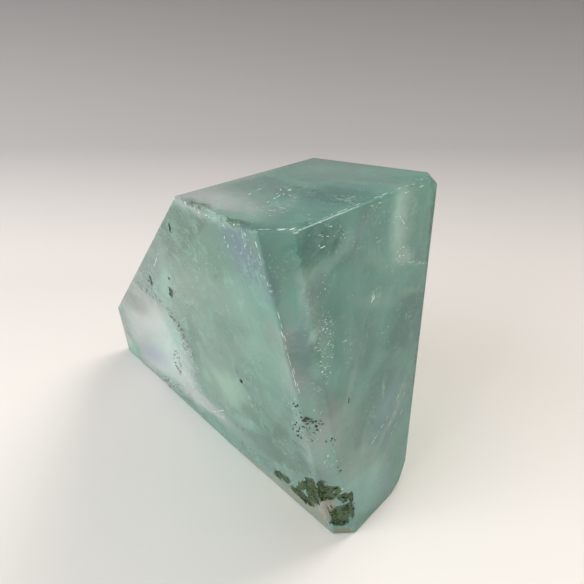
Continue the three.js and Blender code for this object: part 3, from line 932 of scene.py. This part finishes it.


# ---- White flakes -------------------------------------------------------------------------------
# Bruises and tiny cleavage cracks in the crystal, each a bright thin flake at or just under the
# polished surface: sparkles under the crown's edges, a speckled column, dashes and long scratches.
# Some flakes are painted glints, and slivers along the worn edges are painted edge highlights.
FLAKE_FLOCKS = [
    # facet, u, w, half length, half width, turn, flakes, smallest, largest, stretch, direction, deepest
    ("broad_left", 19.0, 33.2, 7.0, 0.8, 0, 34, 0.07, 0.22, 2.0, 10, 0.4),
    ("broad_left", 23.5, 31.0, 4.0, 2.4, 0, 36, 0.05, 0.2, 2.5, 60, 0.6),
    ("broad_left", 12.0, 24.0, 10.0, 7.0, 0, 30, 0.03, 0.09, 1.5, 0, 0.5),
    ("broad_left", 10.0, 8.0, 12.0, 10.0, 0, 40, 0.03, 0.1, 1.5, 0, 0.5),
    ("broad_left", -16.0, 8.5, 4.0, 8.0, 20, 40, 0.04, 0.14, 2.0, 110, 0.4),
    ("broad_left", -12.0, -14.0, 5.0, 5.0, 0, 40, 0.04, 0.13, 1.6, 0, 0.4),
    ("broad_left", 21.0, -8.5, 4.0, 3.6, 0, 70, 0.04, 0.13, 1.5, 0, 0.4),
    ("broad_left", 27.0, 3.0, 2.0, 4.0, 0, 30, 0.05, 0.15, 1.5, 80, 0.3),
    ("narrow_front", 5.0, 3.0, 2.0, 3.5, 0, 30, 0.05, 0.15, 1.5, 80, 0.3),
    ("narrow_front", 8.0, -3.5, 1.0, 4.0, -8, 44, 0.04, 0.14, 1.8, 90, 0.3),
    ("narrow_front", 8.4, -12.0, 2.0, 1.4, 0, 22, 0.06, 0.18, 1.4, 0, 0.3),
    ("narrow_front", 5.2, 18.5, 0.5, 5.0, -4, 20, 0.04, 0.1, 3.0, 80, 0.3),
    ("broad_right", -20.0, 27.0, 3.0, 2.0, -16, 16, 0.08, 0.22, 3.0, -20, 0.5),
    ("broad_right", -17.0, 24.5, 4.5, 2.0, -16, 20, 0.05, 0.12, 2.0, 60, 0.5),
    ("broad_right", -19.2, 10.6, 1.8, 5.8, 0, 260, 0.06, 0.17, 1.2, 0, 0.4),
    ("broad_right", -22.0, 7.8, 2.0, 2.0, 0, 40, 0.04, 0.12, 1.2, 0, 0.5),
    ("broad_right", -19.0, 18.5, 2.0, 3.0, 0, 26, 0.04, 0.12, 3.0, 100, 0.5),
    # painted glints: three bright flake groups where the broad right facet glints
    ("broad_right", -8.0, 14.4, 0.5, 1.0, -20, 10, 0.14, 0.34, 2.4, 65, 0.3),
    ("broad_right", -4.1, 7.3, 0.9, 0.5, 0, 7, 0.08, 0.22, 2.0, 20, 0.4),
    ("broad_right", -14.2, 9.8, 1.0, 0.2, -12, 5, 0.08, 0.18, 3.5, -12, 0.4),
    ("broad_right", -3.5, -3.8, 0.4, 2.2, 0, 14, 0.06, 0.18, 3.0, 88, 0.5),
    ("broad_right", 0.0, 18.0, 2.6, 1.6, -15, 60, 0.06, 0.2, 1.5, -20, 0.4),
    ("broad_right", 4.0, 15.6, 4.4, 0.22, -17, 26, 0.05, 0.14, 4.0, -17, 0.3),
    ("broad_right", -10.0, 21.0, 9.0, 8.0, 0, 70, 0.03, 0.1, 2.0, -30, 0.5),
    ("broad_right", -8.0, -6.0, 11.0, 13.0, 0, 80, 0.03, 0.09, 2.0, 50, 0.5),
    ("broad_left", -9.5, -1.0, 2.4, 9.0, 10, 70, 0.05, 0.16, 1.8, 60, 0.3),
    ("broad_left", -12.0, -18.0, 12.0, 2.6, 12, 90, 0.04, 0.15, 1.6, 30, 0.3),
    # a painted glint on the crown's front edge
    ("crown", -35.6, -3.4, 0.9, 0.12, -85, 8, 0.14, 0.32, 3.0, -85, 0.05),
    ("crown", -28.6, -3.4, 2.4, 4.4, 0, 16, 0.05, 0.18, 3.6, 86, 0.3),
    ("crown", -23.0, -2.6, 6.0, 2.4, 0, 34, 0.03, 0.1, 5.0, 20, 0.4),
    ("crown", -29.0, 3.0, 5.0, 5.0, 0, 46, 0.03, 0.1, 2.0, 40, 0.4),
    ("crown", -12.0, -10.0, 14.0, 14.0, 0, 70, 0.03, 0.09, 2.5, 50, 0.4),
    ("back", 18.0, -30.0, 11.0, 7.0, 0, 60, 0.04, 0.14, 2.0, 30, 0.6),
    ("back_left_roof", 0.0, 0.0, 16.0, 16.0, 0, 60, 0.04, 0.14, 2.0, 60, 0.6),
    ("back_right", 0.0, 0.0, 14.0, 16.0, 0, 60, 0.04, 0.14, 2.0, 20, 0.6),
    ("left_end", -27.4, -26.4, 3.6, 6.5, 0, 40, 0.04, 0.14, 2.0, 20, 0.6),
]
SCRATCHES_AND_EDGE_HIGHLIGHTS = [
    # facet, u and w of both ends; the first seven run along worn edges as painted edge highlights
    ("broad_left", 27.9, 32.2, 28.3, 23.0),
    ("broad_left", 28.3, 23.0, 28.5, 15.0),
    ("broad_left", 28.5, 15.0, 28.5, 8.0),
    ("crown", -35.7, -0.4, -35.4, -3.8),
    ("crown", -34.9, -4.9, -25.3, -12.9),
    ("crown", -25.3, -12.9, -12.4, -23.8),
    ("broad_right", -10.0, 27.8, 5.0, 27.6),
    ("broad_right", -4.9, -15.9, 4.9, -7.1),
    ("broad_right", -2.2, -17.0, 3.4, -11.5),
    ("broad_right", -0.4, -11.8, 4.2, -6.2),
    ("broad_right", 0.8, -8.6, 3.4, -5.6),
    ("broad_right", -6.5, -13.0, -1.5, -10.2),
    ("broad_right", 1.0, -14.6, 5.0, -12.4),
    ("broad_right", -2.4, 25.0, 1.6, 21.0),
    ("crown", -22.0, 2.2, -16.5, -0.6),
    ("crown", -25.0, -0.8, -19.0, -3.6),
    ("crown", -24.0, -3.4, -18.0, -2.2),
    ("broad_left", -8.0, -19.5, 2.0, -12.0),
    ("broad_left", -10.5, 14.0, -4.0, 20.0),
]
SCRATCH_WIDTH = 0.06
SCRATCH_DEEP = 0.02
SCRATCH_STEP = 1.1

cleavage, tree, place = bare_material("cleavage flake and painted glint in fluorite")
shine = node(tree, "ShaderNodeTexNoise", {"Vector": place, "Scale": 1 / (1.5 * MM), "Detail": 3.0})
mix = node(tree, "ShaderNodeMix", {
    0: shine.outputs["Fac"], 6: linear("#9fbfb1"), 7: linear("#eef5f1"),
}, data_type="RGBA")
rough = node(tree, "ShaderNodeMapRange", {"Value": shine.outputs["Fac"], "To Min": 0.15, "To Max": 0.45})
glint = node(tree, "ShaderNodeBsdfPrincipled", {
    "Base Color": mix.outputs[2], "Roughness": rough.outputs[0], "IOR": FLUORITE_IOR,
})
node(tree, "ShaderNodeOutputMaterial", {"Surface": glint.outputs["BSDF"]})

dice = random.Random(14)
places = []
for facet, u, w, long, wide, turn, count, smallest, largest, stretched, way, deepest in FLAKE_FLOCKS:
    for spot_u, spot_w in spots(u, w, long, wide, turn, count, dice):
        size = dice.uniform(smallest, largest)
        depth = dice.choice((0.08 * size, dice.uniform(size, deepest + size)))
        if on_facet(facet, spot_u, spot_w):
            shape = (size * dice.uniform(1, stretched), size * dice.uniform(0.4, 0.8), size * 0.5)
            places.append(lying_at(facet, spot_u, spot_w, depth, shape, way + dice.gauss(0, 22)))
for facet, u0, w0, u1, w1 in SCRATCHES_AND_EDGE_HIGHLIGHTS:
    way = math.degrees(math.atan2(w1 - w0, u1 - u0))
    length = math.hypot(u1 - u0, w1 - w0)
    steps = max(5, round(length / SCRATCH_STEP))
    for step in range(steps):
        along = (step + dice.random()) / steps
        spot_u, spot_w = u0 + (u1 - u0) * along, w0 + (w1 - w0) * along
        dash = length / steps * dice.uniform(0.3, 0.7)
        shape = (dash, SCRATCH_WIDTH * dice.uniform(0.6, 1.4), SCRATCH_DEEP)
        depth = dice.choice((0.0, 0.25))
        places.append(lying_at(facet, spot_u, spot_w, depth, shape, way + dice.gauss(0, 3)))
strewn("white_flakes_and_glints", small_shapes(4, (1, 1, 0.3), 51), places, cleavage)


# ---- Milky veils --------------------------------------------------------------------------------
# Healed fractures inside the crystal: thin sheets of microscopic bubbles that catch the light as
# soft white wisps. Each is a wavy skin a few hundredths of a millimetre thick.
VEILS = [
    # name, facet, u, w, depth, length, width, turn, tip, density
    ("veil_band", "broad_right", -19.2, 22.2, 0.7, 14, 5.0, 6, 12, 0.5),
    ("veil_band_high", "broad_right", -13.0, 24.6, 0.9, 7, 5.5, 48, 10, 0.6),
    ("veil_wisp", "broad_right", -22.4, 18.6, 0.5, 10, 3.0, 96, 8, 0.35),
    ("veil_bright", "broad_right", -1.4, 23.4, 0.7, 15, 7.0, 86, 8, 0.85),
    ("veil_middle", "broad_right", -3.0, 12.0, 1.2, 16, 6.0, -18, 16, 0.5),
    ("veil_column", "broad_right", -19.2, 11.0, 0.9, 13, 4.0, 92, 12, 0.35),
    ("veil_low", "broad_right", -1.5, -9.5, 0.8, 13, 9.0, 42, 14, 0.6),
    ("veil_sole", "broad_right", -6.0, -22.5, 0.8, 24, 13, -38, 6, 0.85),
    ("veil_seam", "narrow_front", 4.0, 20.5, 0.6, 11, 3.0, 96, 10, 0.55),
    ("veil_front", "narrow_front", 5.5, -3.5, 0.9, 15, 6.0, 88, 14, 0.5),
    ("veil_edge", "broad_left", 21.0, 31.0, 0.8, 14, 3.5, 6, 12, 0.4),
    ("veil_upper", "broad_left", 11.0, 22.0, 1.1, 18, 7.0, 40, 14, 0.4),
    ("veil_scar", "broad_left", -21.0, -10.0, 1.9, 36, 22, 38, 0, 1.0),
    ("veil_scar_low", "broad_left", -26.0, -18.5, 2.1, 34, 12, 18, 0, 1.0),
    ("veil_rim", "broad_left", -12.5, -18.6, 0.9, 30, 8.0, 12, 0, 0.6),
    ("veil_left", "broad_left", -13.0, 11.0, 1.0, 16, 6.0, 60, 6, 0.6),
    ("veil_heart", "broad_left", 3.0, -3.0, 2.4, 22, 13, 30, 18, 0.6),
    ("veil_foot", "broad_left", 26.0, -7.0, 0.8, 9, 6.0, 80, 14, 0.35),
    ("veil_crown_left", "crown", -26.0, 4.0, 0.8, 22, 14, 50, 8, 0.5),
    ("veil_crown_fan", "crown", -22.5, -1.8, 0.6, 13, 4.0, 14, 10, 0.65),
    ("veil_crown_back", "crown", -6.0, -12.0, 1.0, 24, 11, 70, 12, 0.5),
    ("veil_crown_right", "crown", -18.0, -17.0, 0.9, 16, 6.0, 60, 10, 0.5),
    ("veil_back", "back", 17.5, -29.0, 0.8, 20, 11, 20, 8, 0.6),
    ("veil_back_right", "back_right", 0.0, -2.0, 1.0, 30, 14, 60, 14, 0.6),
    ("veil_roof", "back_left_roof", 0.0, -2.0, 1.0, 30, 18, 20, 14, 0.6),
    ("veil_deep", "broad_left", 8.0, 12.0, 9.0, 34, 24, 25, 34, 0.5),
    ("veil_core", "broad_right", -6.0, 4.0, 9.0, 30, 22, 70, 40, 0.45),
]
VEIL_COLOUR = "#d2f0ea"
BUBBLE_PATCH = 3.5 * MM
VEIL_SKIN = 0.03 * MM
VEIL_WAVE = 0.35 * MM
VEIL_MARGIN = 0.25 * MM


def milky(density):
    """Bubble veils: white and matt, clear where the bubbles thin out, with a soft ragged edge."""
    material, tree, place = bare_material(f"bubble veil {density:.2f}")
    across = node(tree, "ShaderNodeTexCoord").outputs["UV"]
    centred = node(tree, "ShaderNodeVectorMath", {0: across, 1: (0.5, 0.5, 0)}, operation="SUBTRACT")
    reach = node(tree, "ShaderNodeVectorMath", {0: centred.outputs[0]}, operation="LENGTH")
    streaks = node(tree, "ShaderNodeMapping", {
        "Vector": place, "Rotation": (0.7, 0.2, 0.5), "Scale": (1.0, 0.35, 1.0),
    })
    broad = node(tree, "ShaderNodeTexNoise", {
        "Vector": streaks.outputs[0], "Scale": 1 / BUBBLE_PATCH,
        "Detail": 7.0, "Roughness": 0.68, "Distortion": 0.8,
    })
    fade = node(tree, "ShaderNodeMapRange", {
        "Value": reach.outputs["Value"], "From Min": 0.5, "From Max": 0.12, "To Min": 0.0, "To Max": 1.0,
    }, interpolation_type="SMOOTHSTEP")
    bubbles = node(tree, "ShaderNodeMapRange", {
        "Value": broad.outputs["Fac"], "From Min": 0.6 - 0.3 * density, "From Max": 0.85 - 0.3 * density,
        "To Min": 0.02, "To Max": density,
    })
    cover = node(tree, "ShaderNodeMath", {0: fade.outputs[0], 1: bubbles.outputs[0]}, operation="MULTIPLY")
    skin = node(tree, "ShaderNodeBsdfPrincipled", {
        "Base Color": linear(VEIL_COLOUR), "Roughness": 0.6, "IOR": FLUORITE_IOR, "Alpha": cover.outputs[0],
    })
    node(tree, "ShaderNodeOutputMaterial", {"Surface": skin.outputs["BSDF"]})
    return material


veil_materials = {}
for number, (name, facet, u, w, depth, long, wide, turn, tip, density) in enumerate(VEILS):
    bpy.ops.object.select_all(action="DESELECT")
    bpy.ops.mesh.primitive_grid_add(x_subdivisions=16, y_subdivisions=12, size=1)
    veil = bpy.context.object
    veil.name = name
    bpy.ops.object.mode_set(mode="EDIT")
    bpy.ops.transform.resize(value=(long * MM, wide * MM, 1))
    bpy.ops.transform.vertex_random(offset=VEIL_WAVE, uniform=0.2, normal=1.0, seed=number)
    bpy.ops.mesh.vertices_smooth(factor=0.5, repeat=2)
    bpy.ops.object.mode_set(mode="OBJECT")
    drop = depth + 0.5 * wide * math.sin(math.radians(tip))
    seat = placed_on(facet, u, w, turn, -drop) @ Matrix.Rotation(math.radians(tip), 4, "X")
    veil.data.transform(seat)
    bpy.ops.object.mode_set(mode="EDIT")
    for normal, height in planes:
        bpy.ops.mesh.select_all(action="SELECT")
        bpy.ops.mesh.bisect(plane_co=normal * (height - VEIL_MARGIN), plane_no=normal, clear_outer=True)
    bpy.ops.object.mode_set(mode="OBJECT")
    skin = veil.modifiers.new("skin", "SOLIDIFY")
    skin.thickness = VEIL_SKIN
    skin.offset = 0
    bpy.ops.object.modifier_apply(modifier=skin.name)
    bpy.ops.object.shade_smooth()
    if density not in veil_materials:
        veil_materials[density] = milky(density)
    veil.data.materials.append(veil_materials[density])
    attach(veil, "root")
    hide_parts("fluorite")


# ---- Floor and backdrop -------------------------------------------------------------------------
# A pale matt studio sweep: it lies flat under the stone, turns up behind it and is painted darker
# to grey up the wall as shade.
FLOOR_HALF = 600
FLOOR_FRONT = 500
SWEEP_START = 75
SWEEP_RADIUS = 95
SWEEP_STEPS = 24
WALL_HEIGHT = 150

bpy.ops.object.select_all(action="DESELECT")
bpy.ops.mesh.primitive_plane_add(size=1)
sweep = bpy.context.object
sweep.name = "sweep"
bpy.ops.object.mode_set(mode="EDIT")
bpy.ops.transform.resize(value=(2 * FLOOR_HALF * MM, (FLOOR_FRONT + SWEEP_START) * MM, 1))
bpy.ops.transform.translate(value=(0, (SWEEP_START - FLOOR_FRONT) / 2 * MM, 0))
bpy.ops.object.mode_set(mode="OBJECT")
for edge in sweep.data.edges:
    edge.select = all(sweep.data.vertices[end].co.y > 0 for end in edge.vertices)
for vertex in sweep.data.vertices:
    vertex.select = vertex.co.y > 0
for face in sweep.data.polygons:
    face.select = False
bpy.ops.object.mode_set(mode="EDIT")
bpy.ops.mesh.select_mode(type="EDGE")
for step in range(SWEEP_STEPS):
    low, high = (math.pi / 2 * (step + part) / SWEEP_STEPS for part in (0, 1))
    move = Vector((0, math.sin(high) - math.sin(low), math.cos(low) - math.cos(high))) * SWEEP_RADIUS * MM
    bpy.ops.mesh.extrude_edges_move(TRANSFORM_OT_translate={"value": move})
bpy.ops.mesh.extrude_edges_move(TRANSFORM_OT_translate={"value": (0, 0, WALL_HEIGHT * MM)})
bpy.ops.mesh.select_all(action="SELECT")
bpy.ops.mesh.normals_make_consistent(inside=False)
bpy.ops.object.mode_set(mode="OBJECT")
bpy.ops.object.shade_smooth()

PAPER_COLOURS_WITH_SHADE = [
    # height up the sweep in mm, colour; the grey higher up is painted shade
    (0, "#ebe5df"),
    (6, "#e0dad5"),
    (30, "#b2aeab"),
    (90, "#868482"),
]
studio_paper, tree, place = bare_material("matt studio paper")
height = node(tree, "ShaderNodeSeparateXYZ", {"Vector": place}).outputs["Z"]
top = PAPER_COLOURS_WITH_SHADE[-1][0]
rise = node(tree, "ShaderNodeMapRange", {"Value": height, "From Min": 0.0, "From Max": top * MM})
ramp = node(tree, "ShaderNodeValToRGB", {"Fac": rise.outputs["Result"]})
for step, (level, colour) in enumerate(PAPER_COLOURS_WITH_SHADE):
    stop = ramp.color_ramp.elements[step] if step < 2 else ramp.color_ramp.elements.new(level / top)
    stop.position = level / top
    stop.color = linear(colour)
paper = node(tree, "ShaderNodeBsdfPrincipled", {"Base Color": ramp.outputs["Color"], "Roughness": 0.9})
node(tree, "ShaderNodeOutputMaterial", {"Surface": paper.outputs["BSDF"]})
sweep.data.materials.append(studio_paper)


# ---- Light --------------------------------------------------------------------------------------
# A large soft box above and behind on the right, a low weak one in front on the left, and an even
# pale room light.
SOFT_BOXES = [
    # name, place, aims at, size, watts, colour
    ("key soft box", (380, 300, 620), (0, 0, 20), 450, 3.8, "#fffaf4"),
    ("fill soft box", (-400, -300, 260), (0, 0, 25), 420, 2.6, "#f6f8ff"),
]
ROOM_LIGHT = 0.63

for name, spot, aim, size, watts, colour in SOFT_BOXES:
    lamp = bpy.data.lights.new(name, "AREA")
    lamp.size = size * MM
    lamp.energy = watts
    lamp.color = linear(colour)[:3]
    light = bpy.data.objects.new(name, lamp)
    light.location = Vector(spot) * MM
    light.rotation_euler = (Vector(spot) - Vector(aim)).to_track_quat("Z", "Y").to_euler()
    bpy.context.scene.collection.objects.link(light)

room = bpy.data.worlds.new("studio room")
bpy.context.scene.world = room
room.use_nodes = True
room.node_tree.nodes["Background"].inputs["Color"].default_value = linear("#f4f3f1")
room.node_tree.nodes["Background"].inputs["Strength"].default_value = ROOM_LIGHT
bpy.context.scene.view_settings.view_transform = "Standard"
